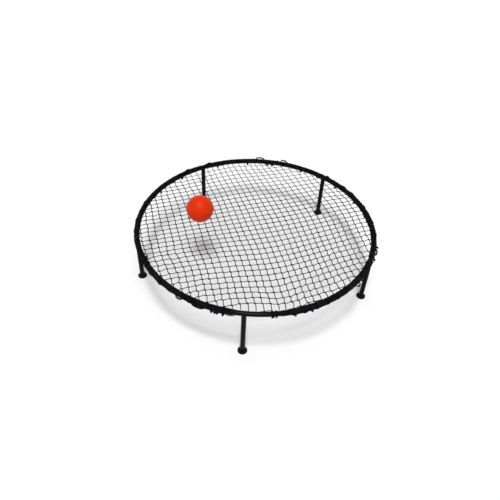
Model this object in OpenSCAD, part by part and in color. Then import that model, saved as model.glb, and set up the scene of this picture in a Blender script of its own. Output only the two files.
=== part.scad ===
// Roundnet set: a round net on a sectional tube ring, five push-on legs and a ball.
// Millimetres. +Z is up, the floor is z = 0 and the ring's centre is on the Z axis.
// The leg named "front" stands at -Y.

/* [Ring] */
// Outside diameter of the ring, over the rim tube
ring_d = 914; // [760:1:1060]
// Height of the rim tube's centreline above the floor
rim_h = 194.5; // [160:0.5:250]
// Outside diameter of the rim, stub and leg tubes
tube_d = 17.5; // [16:0.5:20]
// Wall thickness of every tube
tube_wall = 1.2; // [0.8:0.1:1.5]
// Gap at the seam where one tube's end meets the next
seam_gap = 0.3; // [0.2:0.1:0.6]

/* [Tees] */
// Half of the arc that each tee takes up on the ring, in degrees
tee_half_arc = 9; // [7:0.5:12]
// Drop from the rim's centreline to the shoulder at the stub's end
stub_drop = 42; // [30:1:55]
// Length of each spigot that plugs into a rim tube
rim_spigot_len = 25; // [15:1:35]
// Radial clearance of a spigot in a rim tube
rim_spigot_clear = 0.1; // [0.05:0.01:0.15]
// Length of the spigot that plugs into a leg
leg_spigot_len = 34; // [20:1:40]
// Radial clearance of a spigot in its leg
leg_spigot_clear = 0.08; // [0.02:0.01:0.1]

/* [Feet] */
// Diameter of a foot where it meets the floor
foot_d = 34; // [26:0.5:40]
// Height of a foot, up to the leg tube's end
foot_h = 9; // [7:0.5:14]
// Thickness of a foot's rim
foot_edge = 3; // [1.5:0.5:5]
// Length of the stem that plugs into the leg
foot_stem_len = 18; // [10:1:24]
// Radial clearance of the stem in the leg
foot_stem_clear = 0.05; // [0.02:0.01:0.1]
// Gap between a foot's shoulder and the leg tube's end
foot_seat_gap = 0.1; // [0.05:0.05:0.2]

/* [Net] */
// Diameter of the net's cord
cord_d = 2.4; // [1.6:0.1:3]
// Spacing of the cords, which is every second cord of the full mesh
net_pitch = 51.2; // [50:0.1:70]
// Turn of the mesh about the vertical, in degrees
net_turn = 21.5; // [0:0.5:45]
// Shift of the mesh along its own first direction
net_shift_u = 11; // [0:0.5:25]
// Shift of the mesh along its own second direction
net_shift_v = 12; // [0:0.5:25]
// Width of the net's own border
net_border = 2.4; // [2:0.1:4]
// Gap between soft pieces and what they lie on
rest_gap = 0.3; // [0.2:0.1:0.5]
// Thickness of the gathered netting wrapped round the rim
wrap_t = 2.4; // [1.5:0.1:4]
// Where the bare stretch of rim begins, in degrees from the front leg
bare_start = -4; // [-5:0.5:-2]
// Where the bare stretch of rim ends, in degrees from the front leg
bare_end = 22; // [20:0.5:28]
// Diameter of the edge cord along the rim's outer lower side
edge_cord_d = 4; // [3:0.1:5]

/* [Lashings and loops] */
// Angles of the two cord turns round the bare rim, from the front leg
lashing_angles = [11.4, 14]; // [10:0.1:18]
// Diameter of the knot below each cord turn
knot_d = 6; // [5:0.5:8]
// Radius of a slack loop's own bend
loop_r = 7; // [5:0.5:9]
// Diameter of a slack loop's cord
loop_cord_d = 2.4; // [1.6:0.1:3]

/* [Ball] */
// Outside diameter of the ball
ball_d = 102; // [90:1:110]
// Wall thickness of the ball
ball_wall = 3; // [2:0.5:5]
// Distance of the ball from the ring's centre
ball_off = 213; // [120:1:260]
// Direction of the ball from the ring's centre, in degrees
ball_dir = 183.3; // [160:0.1:210]
// Diameter of the inflation valve's plug
valve_d = 6; // [4:0.5:8]
// Radial clearance of the valve plug in the ball's wall
valve_clear = 0.1; // [0.05:0.05:0.2]

/* [Hidden] */
$fn = 96;
LEG_NAMES = ["front", "right", "back_right", "back_left", "left"];
BAY_NAMES = ["front_right", "back_right", "back", "back_left", "front_left"];
leg_count = len(LEG_NAMES);
leg_step = 360 / leg_count;
front_dir = -90;

// Ring
tube_r = tube_d / 2;
bore_r = tube_r - tube_wall;
rim_r = ring_d / 2 - tube_r;
deg_per_mm = 180 / (PI * rim_r);
seam_deg = seam_gap * deg_per_mm;
// A bore's cutter runs past each end by this much
cut = 1;
cut_deg = cut * deg_per_mm;
// Metal left between a full bore and a spigot's shoulder
shoulder_t = 2 * tube_wall;

// Tees
rim_spigot_r = bore_r - rim_spigot_clear;
leg_spigot_r = bore_r - leg_spigot_clear;
rim_spigot_deg = rim_spigot_len * deg_per_mm;
stub_end_z = rim_h - stub_drop;

// Legs and feet
leg_bottom_z = foot_h + foot_seat_gap;
leg_top_z = stub_end_z - seam_gap;
foot_r = foot_d / 2;

// Net: its underside lies just above the rim tube's top, and its border just inside the wrap
wrap_r = tube_r + rest_gap + max(wrap_t, cord_d);
net_z = rim_h + tube_r + rest_gap;
net_top_z = net_z + cord_d;
net_r = rim_r - sqrt(pow(wrap_r + rest_gap, 2) - pow(net_z - rim_h, 2));
lines_each_side = ceil(net_r / net_pitch);

// A wrap stops this many degrees short of the middle of a stub
stub_clear_deg = (tube_r + cord_d) * deg_per_mm;

// The edge cord passes just outside the stubs and just below the wraps
edge_cord_r = edge_cord_d / 2;
edge_path_r = rim_r + tube_r + rest_gap + edge_cord_r;
edge_path_z = rim_h - sqrt(pow(wrap_r + rest_gap + edge_cord_r, 2) - pow(edge_path_r - rim_r, 2));

// Slack loops, in degrees from the front leg, anticlockwise from above
LOOP_ANGLES = [54.4, 78.6, 169.1, 182.3, 332.6, 340.8];

// Ball: it lies on the nearest line of the net
ball_r = ball_d / 2;
ball_u = ball_off * cos(ball_dir - net_turn);
ball_v = ball_off * sin(ball_dir - net_turn);
ball_reach = min(line_gap(ball_u, net_shift_u), line_gap(ball_v, net_shift_v));
ball_z = net_top_z + sqrt(pow(ball_r, 2) - pow(ball_reach, 2)) + rest_gap;
ball_pos = [ball_off * cos(ball_dir), ball_off * sin(ball_dir), ball_z];
// The valve faces down and away from the front
VALVE_TURN = [0, 125, 60];
valve_tail = 2;

STEEL = "#202023";
CORD = "#17171a";
RUBBER = "#242426";
BALL_RED = "#e0340f";

// Direction of leg i from the ring's centre
function leg_dir(i) = front_dir + i * leg_step;

// Level distance from the place s to the side of the nearest line of a family
function line_gap(s, shift) =
    let (steps = (s - shift) / net_pitch)
    max(0, abs(steps - round(steps)) * net_pitch - cord_d / 2);

// Where the wrap of bay i begins and ends: the first and last stop at the bare rim
function wrap_from(i) = i == 0 ? front_dir + bare_end : leg_dir(i) + stub_clear_deg;
function wrap_to(i) = i == leg_count - 1 ? front_dir + 360 + bare_start : leg_dir(i + 1) - stub_clear_deg;

// Puts its children on the rim's centreline in direction dir, with +X outward
module on_rim(dir) {
    rotate([0, 0, dir])
        translate([rim_r, 0, rim_h])
            children();
}

// A solid round bar of radius r that follows the rim from one direction to another
module rim_bar(from, to, r) {
    translate([0, 0, rim_h])
        rotate([0, 0, from])
            rotate_extrude(angle = to - from)
                translate([rim_r, 0])
                    circle(r = r);
}

// A curved length of rim with a welded stub, swaged at its three ends
module tee(i) {
    dir = leg_dir(i);
    half = tee_half_arc;
    swage_deg = shoulder_t * deg_per_mm;
    color(STEEL)
        difference() {
            union() {
                rim_bar(dir - half, dir + half, tube_r);
                rim_bar(dir - half - rim_spigot_deg, dir + half + rim_spigot_deg, rim_spigot_r);
                on_rim(dir)
                    translate([0, 0, -stub_drop])
                        cylinder(h = stub_drop, r = tube_r);
                on_rim(dir)
                    translate([0, 0, -stub_drop - leg_spigot_len])
                        cylinder(h = leg_spigot_len + cut, r = leg_spigot_r);
            }
            // Full bores of the arc and the stub
            rim_bar(dir - half + swage_deg, dir + half - swage_deg, bore_r);
            on_rim(dir)
                translate([0, 0, shoulder_t - stub_drop])
                    cylinder(h = stub_drop - shoulder_t, r = bore_r);
            // Narrower bores through the swaged ends
            rim_bar(
                dir - half - rim_spigot_deg - cut_deg,
                dir + half + rim_spigot_deg + cut_deg,
                rim_spigot_r - tube_wall
            );
            on_rim(dir)
                translate([0, 0, -stub_drop - leg_spigot_len - cut])
                    cylinder(h = leg_spigot_len + shoulder_t + 2 * cut, r = leg_spigot_r - tube_wall);
        }
}

// The plain curved tube between tee i and the next one
module rim_tube(i) {
    from = leg_dir(i) + tee_half_arc + seam_deg;
    to = leg_dir(i + 1) - tee_half_arc - seam_deg;
    color(STEEL)
        difference() {
            rim_bar(from, to, tube_r);
            rim_bar(from - cut_deg, to + cut_deg, bore_r);
        }
}

// Straight leg tube, open at both ends
module leg(i) {
    color(STEEL)
        rotate([0, 0, leg_dir(i)])
            translate([rim_r, 0, leg_bottom_z])
                difference() {
                    cylinder(h = leg_top_z - leg_bottom_z, r = tube_r);
                    translate([0, 0, -cut])
                        cylinder(h = leg_top_z - leg_bottom_z + 2 * cut, r = bore_r);
                }
}

// Outline of a foot from its axis: a flat base, a thin rim, a hollow flare and a stem
function foot_outline() = concat(
    [[0, 0], [foot_r, 0]],
    [for (a = [0:15:90]) [
        foot_r - (foot_r - tube_r) * sin(a),
        foot_h - (foot_h - foot_edge) * cos(a)
    ]],
    [
        [bore_r - foot_stem_clear, foot_h],
        [bore_r - foot_stem_clear, foot_h + foot_stem_len],
        [0, foot_h + foot_stem_len]
    ]
);

// Flared rubber foot with a stem that plugs the leg
module foot(i) {
    color(RUBBER)
        rotate([0, 0, leg_dir(i)])
            translate([rim_r, 0, 0])
                rotate_extrude()
                    polygon(foot_outline());
}

// One family of parallel net lines, square to the X axis
module net_lines(shift) {
    for (k = [-lines_each_side - 1 : lines_each_side])
        translate([k * net_pitch + shift, 0])
            square([cord_d, 2 * net_r], center = true);
}

// Flat square mesh with a border cord
module net() {
    color(CORD)
        translate([0, 0, net_z])
            linear_extrude(height = cord_d) {
                intersection() {
                    circle(r = net_r - net_border / 2);
                    union() {
                        rotate(net_turn) net_lines(net_shift_u);
                        rotate(net_turn + 90) net_lines(net_shift_v);
                    }
                }
                difference() {
                    circle(r = net_r);
                    circle(r = net_r - net_border);
                }
            }
}

// Gathered netting wrapped round the rim in bay i
module net_edge(i) {
    color(CORD)
        difference() {
            rim_bar(wrap_from(i), wrap_to(i), wrap_r);
            rim_bar(wrap_from(i) - cut_deg, wrap_to(i) + cut_deg, tube_r + rest_gap);
        }
}

// Cord along the outer lower side of the wraps
module edge_cord() {
    color(CORD)
        translate([0, 0, edge_path_z])
            rotate([0, 0, wrap_from(0)])
                rotate_extrude(angle = wrap_to(leg_count - 1) - wrap_from(0))
                    translate([edge_path_r, 0])
                        circle(r = edge_cord_r);
}

// Two cord turns round the bare rim, each with a knot below
module net_lashings() {
    color(CORD)
        for (a = lashing_angles)
            on_rim(front_dir + a) {
                rotate([90, 0, 0])
                    rotate_extrude()
                        translate([tube_r + rest_gap + cord_d / 2, 0])
                            circle(d = cord_d);
                translate([0, 0, -tube_r - rest_gap - knot_d / 2])
                    sphere(d = knot_d);
            }
}

// Slack loops of net cord: half rings that stand level, out from the wraps
module net_loops() {
    color(CORD)
        for (a = LOOP_ANGLES)
            on_rim(front_dir + a)
                translate([wrap_r + rest_gap, 0, 0])
                    rotate([0, 0, -90])
                        rotate_extrude(angle = 180)
                            translate([loop_r, 0])
                                circle(d = loop_cord_d);
}

// Hollow ball with a hole for its valve
module ball_shell() {
    color(BALL_RED)
        translate(ball_pos)
            difference() {
                sphere(r = ball_r);
                sphere(r = ball_r - ball_wall);
                rotate(VALVE_TURN)
                    cylinder(h = ball_r + cut, d = valve_d);
            }
}

// Rubber plug of the valve, flush with the ball's skin
module ball_valve() {
    color(RUBBER)
        translate(ball_pos)
            intersection() {
                sphere(r = ball_r);
                rotate(VALVE_TURN)
                    translate([0, 0, ball_r - ball_wall - valve_tail])
                        cylinder(h = ball_wall + valve_tail + cut, r = valve_d / 2 - valve_clear);
            }
}

for (i = [0 : leg_count - 1]) {
    tee(i);
    rim_tube(i);
    leg(i);
    foot(i);
    net_edge(i);
}
net();
edge_cord();
net_lashings();
net_loops();
ball_shell();
ball_valve();
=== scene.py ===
"""Roundnet set: the dressed model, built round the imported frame.

The tubes, legs, feet and ball are the frame's own solids with real finishes. The netting is made here:
a knotted square mesh that is drawn over the ring, gathered and laced round the tube, with its edge cord,
lashings, slack loops and knots. Everything is in metres, in the frame's own axes.
"""

import logging
import math
from collections.abc import Sequence
from dataclasses import astuple, dataclass, field, replace
from enum import Enum
from typing import Any

import bpy
import numpy as np
from mathutils import Matrix, Vector


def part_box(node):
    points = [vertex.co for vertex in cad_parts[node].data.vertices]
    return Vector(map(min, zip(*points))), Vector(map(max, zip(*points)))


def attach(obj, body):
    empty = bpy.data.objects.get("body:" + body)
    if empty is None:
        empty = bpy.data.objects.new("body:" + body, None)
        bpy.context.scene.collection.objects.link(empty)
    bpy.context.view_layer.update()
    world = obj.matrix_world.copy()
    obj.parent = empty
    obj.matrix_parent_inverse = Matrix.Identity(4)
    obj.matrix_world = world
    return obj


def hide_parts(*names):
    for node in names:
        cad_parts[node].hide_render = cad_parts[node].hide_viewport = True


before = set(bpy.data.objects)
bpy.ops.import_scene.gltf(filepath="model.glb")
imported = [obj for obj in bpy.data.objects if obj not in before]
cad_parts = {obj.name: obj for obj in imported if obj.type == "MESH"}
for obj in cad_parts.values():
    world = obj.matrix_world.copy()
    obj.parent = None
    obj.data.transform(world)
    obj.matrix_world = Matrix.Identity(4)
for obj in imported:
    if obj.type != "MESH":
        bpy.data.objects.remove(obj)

log = logging.getLogger("roundnet")
Array = np.ndarray

MM = 0.001
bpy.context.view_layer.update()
FRAME_BODY = "frame"


class Place(Enum):
    """The five legs and the directions in which they stand, in degrees."""

    FRONT = -90.0
    RIGHT = -18.0
    BACK_RIGHT = 54.0
    BACK_LEFT = 126.0
    LEFT = 198.0


class Bay(Enum):
    """The five stretches of gathered netting: where each begins and ends, in degrees."""

    FRONT_RIGHT = (-68.0, -18.0)
    BACK_RIGHT = (-18.0, 54.0)
    BACK = (54.0, 126.0)
    BACK_LEFT = (126.0, 198.0)
    FRONT_LEFT = (198.0, 266.0)

    @property
    def label(self) -> str:
        """This bay's name as its pieces carry it."""
        return self.name.lower()

    @property
    def node(self) -> str:
        """Name of the frame's node that this bay's netting stands for."""
        return "net_edge_" + self.label


# ---------------------------------------------------------------------------------------------------
# Small helpers
# ---------------------------------------------------------------------------------------------------


def linear(hex_colour: str) -> tuple[float, float, float, float]:
    """Turn an sRGB hex colour into linear RGBA.

    A value up to 0.04045 is divided by 12.92. A greater one is ((value + 0.055) / 1.055) to the power 2.4.

    Args:
        hex_colour: Six hex digits with a leading #.

    Returns:
        Linear red, green, blue and an alpha of 1.
    """
    parts = [int(hex_colour[i : i + 2], 16) / 255 for i in (1, 3, 5)]
    red, green, blue = [p / 12.92 if p <= 0.04045 else ((p + 0.055) / 1.055) ** 2.4 for p in parts]
    return (red, green, blue, 1.0)


def smooth_step(x: Array) -> Array:
    """Rise from 0 to 1 with level ends as x goes from 0 to 1."""
    t = np.clip(x, 0.0, 1.0)
    return t * t * (3.0 - 2.0 * t)


def step_up(x: Array, start: float, width: float) -> Array:
    """Rise from 0 at start to 1 a width further on."""
    return smooth_step((x - start) / width)


def turn_between(angle: Array, middle: float) -> Array:
    """Signed turn from middle, in degrees, to each angle in radians: between minus pi and pi."""
    return (angle - math.radians(middle) + np.pi) % (2.0 * np.pi) - np.pi


def along_ring(direction: Array, climb: Array | float) -> Array:
    """Way along the ring at each direction in radians from its centre, with a climb in each metre."""
    return np.stack([-np.sin(direction), np.cos(direction), np.broadcast_to(climb, direction.shape)], -1)


@dataclass(frozen=True)
class Waver:
    """A smooth random curve: a sum of sines of random phase and like wavelengths.

    Attributes:
        size: Spread of its heights, in any unit.
        wave: Typical wavelength, in metres. The sines have from half to twice that.
        sines: Number of sines.
    """

    size: float
    wave: float
    sines: int = 5

    def along(self, s: Array, rng: np.random.Generator) -> Array:
        """Draw one curve.

        Args:
            s: Distances along it.
            rng: Source of the phases and wavelengths.

        Returns:
            The curve's height at each distance.
        """
        waves = self.wave * rng.uniform(0.5, 2.0, self.sines)
        phases = rng.uniform(0.0, 2.0 * np.pi, self.sines)
        heights = np.sin(2.0 * np.pi * s[..., None] / waves + phases)
        return self.size * (heights.sum(-1) * math.sqrt(2.0 / self.sines))


# ---------------------------------------------------------------------------------------------------
# Finishes
# ---------------------------------------------------------------------------------------------------

NOISE_SPAN = (0.3, 0.7)  # where most values of a noise pattern lie
MIX_COLOURS = (6, 7)  # a Mix node's two colour inputs
MIX_RESULT = 2  # and its colour output
FIBRE_GLOW_ROUGHNESS = 0.4
STRAND_SLANT = math.radians(45.0)
STRAND_RIDGE = 0.25 * MM


def add_node(
    tree: bpy.types.NodeTree, kind: str, settings: dict[str, Any], links: dict[str | int, Any]
) -> Any:
    """Add a shader node with its settings and links.

    Args:
        tree: The node tree.
        kind: The node's type, such as ShaderNodeTexNoise.
        settings: Property names, or input names after "in:", and their values.
        links: Input names or numbers and the output sockets that feed them.

    Returns:
        The node.
    """
    node = tree.nodes.new(kind)
    for name, value in settings.items():
        if name.startswith("in:"):
            node.inputs[name[3:]].default_value = value
        else:
            setattr(node, name, value)
    for name, socket in links.items():
        tree.links.new(socket, node.inputs[name])
    return node


@dataclass(frozen=True)
class Finish:
    """A surface finish: mottled colour and roughness, and a fine relief that follows the object.

    Attributes:
        name: Name of the real material.
        colour: sRGB hex of the surface.
        shade: sRGB hex that the mottling moves towards.
        roughness: Principled roughness.
        specular: Specular level, 0.5 for a clean surface and less for a dull one.
        mottle_mm: Size of the colour and roughness mottling.
        grain_mm: Size of the relief's grain.
        grain_depth_mm: Height of the relief.
        ior: Index of refraction.
        roughness_swing: How far the mottling moves the roughness.
        sheen: Weight of the soft edge glow of fibres.
        twist_per_m: Strand ridges for each metre of cord, or 0 for none.
        contrast: How much the mottling is stretched, so that its two colours stand apart as flecks.
    """

    name: str
    colour: str
    shade: str
    roughness: float
    specular: float
    mottle_mm: float
    grain_mm: float
    grain_depth_mm: float
    ior: float = 1.5
    roughness_swing: float = 0.06
    sheen: float = 0.0
    twist_per_m: float = 0.0
    contrast: float = 1.0

    def material(self) -> bpy.types.Material:
        """Build the node material.

        Returns:
            A material whose patterns read Object coordinates, or the cord's own UV map for the twist.
        """
        material = bpy.data.materials.new(self.name)
        material.use_nodes = True
        tree = material.node_tree
        shader = tree.nodes["Principled BSDF"]
        coords = add_node(tree, "ShaderNodeTexCoord", {}, {})
        place = {"Vector": coords.outputs["Object"]}

        patches = {"in:Scale": 1.0 / (self.mottle_mm * MM), "in:Detail": 4.0, "in:Roughness": 0.6}
        mottle = {"Value": add_node(tree, "ShaderNodeTexNoise", patches, place).outputs["Fac"]}
        reach = 0.5 / self.contrast
        stretch = {"in:From Min": 0.5 - reach, "in:From Max": 0.5 + reach}
        share = add_node(tree, "ShaderNodeMapRange", stretch, mottle)
        tint = add_node(tree, "ShaderNodeMix", {"data_type": "RGBA"}, {0: share.outputs["Result"]})
        for number, colour in zip(MIX_COLOURS, (self.colour, self.shade)):
            tint.inputs[number].default_value = linear(colour)
        swing = {
            "in:From Min": NOISE_SPAN[0],
            "in:From Max": NOISE_SPAN[1],
            "in:To Min": self.roughness - self.roughness_swing,
            "in:To Max": self.roughness + self.roughness_swing,
        }
        rough = add_node(tree, "ShaderNodeMapRange", swing, mottle)

        pebble = {"in:Scale": 1.0 / (self.grain_mm * MM), "in:Detail": 2.0}
        grain = add_node(tree, "ShaderNodeTexNoise", pebble, place)
        depth = {"in:Strength": 1.0, "in:Distance": self.grain_depth_mm * MM}
        relief = add_node(tree, "ShaderNodeBump", depth, {"Height": grain.outputs["Fac"]})
        if self.twist_per_m:
            relief = self._add_twist(tree, coords, relief)

        for socket, source in (
            ("Base Color", tint.outputs[MIX_RESULT]),
            ("Roughness", rough.outputs["Result"]),
            ("Normal", relief.outputs["Normal"]),
        ):
            tree.links.new(source, shader.inputs[socket])
        for socket, value in (
            ("IOR", self.ior),
            ("Specular IOR Level", self.specular),
            ("Sheen Weight", self.sheen),
            ("Sheen Roughness", FIBRE_GLOW_ROUGHNESS),
        ):
            shader.inputs[socket].default_value = value
        return material

    def _add_twist(self, tree: bpy.types.NodeTree, coords: Any, relief: Any) -> Any:
        """Add the ridges of laid strands, which run slantwise round the cord.

        Args:
            tree: The material's tree.
            coords: Its texture coordinate node. V runs along the cord in metres and U once round it.
            relief: The bump node so far.

        Returns:
            A bump node that adds the ridges to relief.
        """
        slant = {"in:Scale": (1.0, self.twist_per_m, 1.0), "in:Rotation": (0.0, 0.0, STRAND_SLANT)}
        lie = add_node(tree, "ShaderNodeMapping", slant, {"Vector": coords.outputs["UV"]})
        uneven = {"in:Scale": 1.0, "in:Distortion": 0.6, "in:Detail": 1.0}
        ridges = add_node(tree, "ShaderNodeTexWave", uneven, {"Vector": lie.outputs["Vector"]})
        depth = {"in:Strength": 1.0, "in:Distance": STRAND_RIDGE}
        heights = {"Height": ridges.outputs["Fac"], "Normal": relief.outputs["Normal"]}
        return add_node(tree, "ShaderNodeBump", depth, heights)


# Steel tube with a baked satin enamel: near black, with the faint orange peel of a sprayed coat.
ENAMELLED_TUBE = Finish(
    "black_satin_enamel_on_steel",
    "#030304",
    "#080809",
    roughness=0.20,
    specular=0.055,
    mottle_mm=35.0,
    grain_mm=2.0,
    grain_depth_mm=0.02,
)
# Moulded rubber: dull black, with a slight bloom and a fine pebble from the mould.
MOULDED_RUBBER = Finish(
    "moulded_rubber",
    "#050506",
    "#0d0d0f",
    roughness=0.60,
    specular=0.07,
    mottle_mm=8.0,
    grain_mm=0.8,
    grain_depth_mm=0.06,
)
# Laid polyester cord: black, a little shiny along its ridges, with a faint fibre glow at the edges.
POLYESTER_CORD = Finish(
    "laid_polyester_cord",
    "#020203",
    "#08080a",
    roughness=0.50,
    specular=0.035,
    mottle_mm=6.0,
    grain_mm=0.6,
    grain_depth_mm=0.05,
    sheen=0.005,
    twist_per_m=420.0,
)
# The same cord bunched round the tube, with painted highlights: grey flecks in its colour stand in for the
# glints that its many fibres catch unevenly. A real fleck is a strand or two wide, and these are about a
# centimetre, so that they show.
BUNCHED_CORD_PAINTED_GLINTS = replace(
    POLYESTER_CORD,
    name="bunched_polyester_cord_painted_glints",
    colour="#010101",
    # the shade colour here is the painted highlight of the flecks
    shade="#19191c",
    specular=0.03,
    mottle_mm=11.0,
    contrast=5.0,
)
# Soft vinyl: an even, matt red-orange whose dull skin spreads its highlight wide.
SOFT_VINYL = Finish(
    "matt_soft_vinyl",
    "#d52e00",
    "#dc3400",
    roughness=0.42,
    specular=0.10,
    mottle_mm=28.0,
    grain_mm=0.9,
    grain_depth_mm=0.03,
    roughness_swing=0.04,
)


# ---------------------------------------------------------------------------------------------------
# Cord meshes
# ---------------------------------------------------------------------------------------------------

TINY = 1e-12
KNOT_BULGE = 0.16
KNOT_V = 4.0 * MM  # V at a knot's end, in its UV map


def unit(vectors: Array) -> Array:
    """Make every vector one long."""
    return vectors / np.maximum(np.linalg.norm(vectors, axis=-1, keepdims=True), TINY)


def square_to(axis: Array, direction: Array) -> Array:
    """Take the part of each direction that is square to its unit axis, one long."""
    return unit(direction - (direction * axis).sum(-1, keepdims=True) * axis)


def travelled(paths: Array) -> Array:
    """Distance along each path at each of its points: the running sum of its steps."""
    steps = np.linalg.norm(np.diff(paths, axis=-2), axis=-1)
    return np.concatenate([np.zeros_like(steps[..., :1]), np.cumsum(steps, axis=-1)], -1)


def band(lower: Array, upper: Array, sides: int) -> Array:
    """Join rings of vertices with quads.

    Args:
        lower: Number of each ring's first vertex.
        upper: Number of the first vertex of the ring that it is joined to.
        sides: Vertices of a ring.

    Returns:
        Four vertex numbers for each quad: forward on the lower ring, then back on the upper one.
    """
    here = np.arange(sides)
    after = (here + 1) % sides
    low, high = lower[:, None], upper[:, None]
    return np.stack([low + here, low + after, high + after, high + here], -1).reshape(-1, 4)


def new_object(name: str, vertices: Array, faces: list[list[int]], uv: Array | None) -> bpy.types.Object:
    """Put vertices and faces into a smooth-shaded mesh object.

    Args:
        name: Name of the piece.
        vertices: Points, n by 3, in metres.
        faces: Vertex numbers of each face, anticlockwise seen from outside.
        uv: One pair for each vertex, or None.

    Returns:
        The object, at the origin.
    """
    mesh = bpy.data.meshes.new(name)
    mesh.from_pydata(vertices.tolist(), [], faces)
    if uv is not None:
        layer = mesh.uv_layers.new(name="UVMap")
        loops = np.zeros(len(mesh.loops), np.int32)
        mesh.loops.foreach_get("vertex_index", loops)
        layer.data.foreach_set("uv", uv[loops].astype(np.float32).ravel())
    mesh.polygons.foreach_set("use_smooth", np.ones(len(mesh.polygons), bool))
    mesh.update()
    piece = bpy.data.objects.new(name, mesh)
    bpy.context.scene.collection.objects.link(piece)
    return piece


def tube_mesh(
    paths: Array, normals: Array, radii: Array, shown: Array, sides: int
) -> tuple[Array, list, Array]:
    """Carry a round profile along many paths at once.

    Ring point k is path + radius (cos a_k N + sin a_k T x N), where T is the path's direction and N its
    normal made square to T. Faces join each shown ring to the next one, and each run is closed at both ends.

    Args:
        paths: Points of the paths, paths by rings by 3.
        normals: A direction at each point that is never along the path.
        radii: Radius at each point.
        shown: True where a ring is part of a cord.
        sides: Number of sides of the profile.

    Returns:
        Vertices, faces and a UV pair for each vertex, U once round the cord and V along it in metres.
    """
    count, rings = shown.shape
    along = unit(np.gradient(paths, axis=1))
    up = square_to(along, normals)
    side = np.cross(along, up)
    turn = 2.0 * np.pi * np.arange(sides) / sides
    ring = np.cos(turn)[:, None] * up[:, :, None, :] + np.sin(turn)[:, None] * side[:, :, None, :]
    vertices = (paths[:, :, None, :] + radii[:, :, None, None] * ring).reshape(-1, 3)
    shape = (count, rings, sides)
    once_round = np.broadcast_to(np.arange(sides) / sides, shape)
    uv = np.stack([once_round, np.broadcast_to(travelled(paths)[:, :, None], shape)], -1).reshape(-1, 2)

    joined = shown[:, :-1] & shown[:, 1:]
    has_before = np.pad(joined, ((0, 0), (1, 0)))
    has_after = np.pad(joined, ((0, 0), (0, 1)))
    ring_start = np.arange(count * rings).reshape(count, rings) * sides
    base = ring_start[:, :-1][joined]
    quads = band(base, base + sides, sides)
    here = np.arange(sides)
    starts = ring_start[has_after & ~has_before]
    ends = ring_start[has_before & ~has_after]
    caps = np.concatenate([starts[:, None] + here[::-1], ends[:, None] + here])

    used = np.zeros(len(vertices), bool)
    used[quads] = True
    renumber = np.cumsum(used) - 1
    faces = renumber[quads].tolist() + renumber[caps].tolist()
    return vertices[used], faces, uv[used]


def cord_piece(
    name: str, paths: Array, normals: Array, radii: Array | float, shown: Array | None = None, sides: int = 6
) -> bpy.types.Object:
    """Make one piece from one or more cords.

    Args:
        name: Name of the piece.
        paths: Points, paths by rings by 3.
        normals: A direction at each point that is never along the path.
        radii: One radius, or one at each point.
        shown: Where the cords exist, or None for everywhere.
        sides: Sides of the round profile.

    Returns:
        The piece.
    """
    mask = np.ones(paths.shape[:2], bool) if shown is None else shown
    sizes = np.broadcast_to(radii, paths.shape[:2])
    vertices, faces, uv = tube_mesh(paths, normals, sizes, mask, sides)
    return new_object(name, vertices, faces, uv)


def knot_piece(
    name: str,
    centres: Array,
    along: Array,
    up: Array,
    lengths: Array,
    widths: Array,
    grid: tuple[int, int] = (5, 6),
) -> bpy.types.Object:
    """Make many small knots: a slim egg with two turns of cord wound slantwise round it.

    The egg is r(a, b) = 1 + KNOT_BULGE cos(2 a + 4 b) over its turn a and its height b, and is stretched to
    the knot's size.

    Args:
        name: Name of the piece.
        centres: Places of the knots, n by 3.
        along: Direction of each knot's long axis.
        up: A direction across it.
        lengths: Half length of each knot.
        widths: Half width of each knot.
        grid: Rings from end to end, and sides.

    Returns:
        The piece.
    """
    rings, sides = grid
    height = np.pi * (np.arange(rings) + 0.5) / rings
    turn = 2.0 * np.pi * np.arange(sides) / sides
    b, a = np.meshgrid(height, turn, indexing="ij")
    reach = (1.0 + KNOT_BULGE * np.cos(2.0 * a + 4.0 * b)) * np.sin(b)
    local = np.stack([np.cos(b), reach * np.cos(a), reach * np.sin(a)], -1).reshape(-1, 3)
    local = np.concatenate([local, [[1.0, 0.0, 0.0], [-1.0, 0.0, 0.0]]])

    axis = unit(along)
    lift = square_to(axis, up)
    points = centres[:, None, :]
    for i, (size, way) in enumerate(((lengths, axis), (widths, lift), (widths, np.cross(axis, lift)))):
        points = points + (size[:, None] * local[:, i])[..., None] * way[:, None, :]
    here = np.arange(sides)
    after = (here + 1) % sides
    row = np.arange(rings - 1) * sides
    quads = band(row, row + sides, sides)[:, [0, 3, 2, 1]]  # turned over, as the rings run from the top down
    top, bottom = rings * sides, rings * sides + 1
    last = (rings - 1) * sides
    heads = np.stack([np.full(sides, top), here, after], -1)
    tails = np.stack([np.full(sides, bottom), last + after, last + here], -1)
    shift = (np.arange(len(centres)) * len(local))[:, None, None]
    faces = []
    for part in (quads, heads, tails):
        faces += (part + shift).reshape(-1, part.shape[1]).tolist()
    uv = np.tile(np.stack([local[:, 1] * 0.5 + 0.5, local[:, 0] * KNOT_V], -1), (len(centres), 1))
    return new_object(name, points.reshape(-1, 3), faces, uv)


def sleeve_piece(name: str, outer: Array, inner: Array) -> bpy.types.Object:
    """Make a closed sleeve: its surface goes out along the outer wall and back along the inner one.

    Args:
        name: Name of the piece.
        outer: The outer wall, rings by sides by 3. Rings go anticlockwise round the ring and sides outward.
        inner: The inner wall, in the same order.

    Returns:
        The piece.
    """
    walls = np.concatenate([outer, inner[::-1]])
    rings, sides, _ = walls.shape
    row = np.arange(rings) * sides
    quads = band(row, np.roll(row, -1), sides)
    once_round = np.broadcast_to(np.arange(sides) / sides, (rings, sides))
    reach = np.broadcast_to(travelled(walls.mean(1))[:, None], (rings, sides))
    uv = np.stack([once_round, reach], -1).reshape(-1, 2)
    return new_object(name, walls.reshape(-1, 3), quads.tolist(), uv)


# ---------------------------------------------------------------------------------------------------
# The ring that everything hangs on
# ---------------------------------------------------------------------------------------------------


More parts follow.
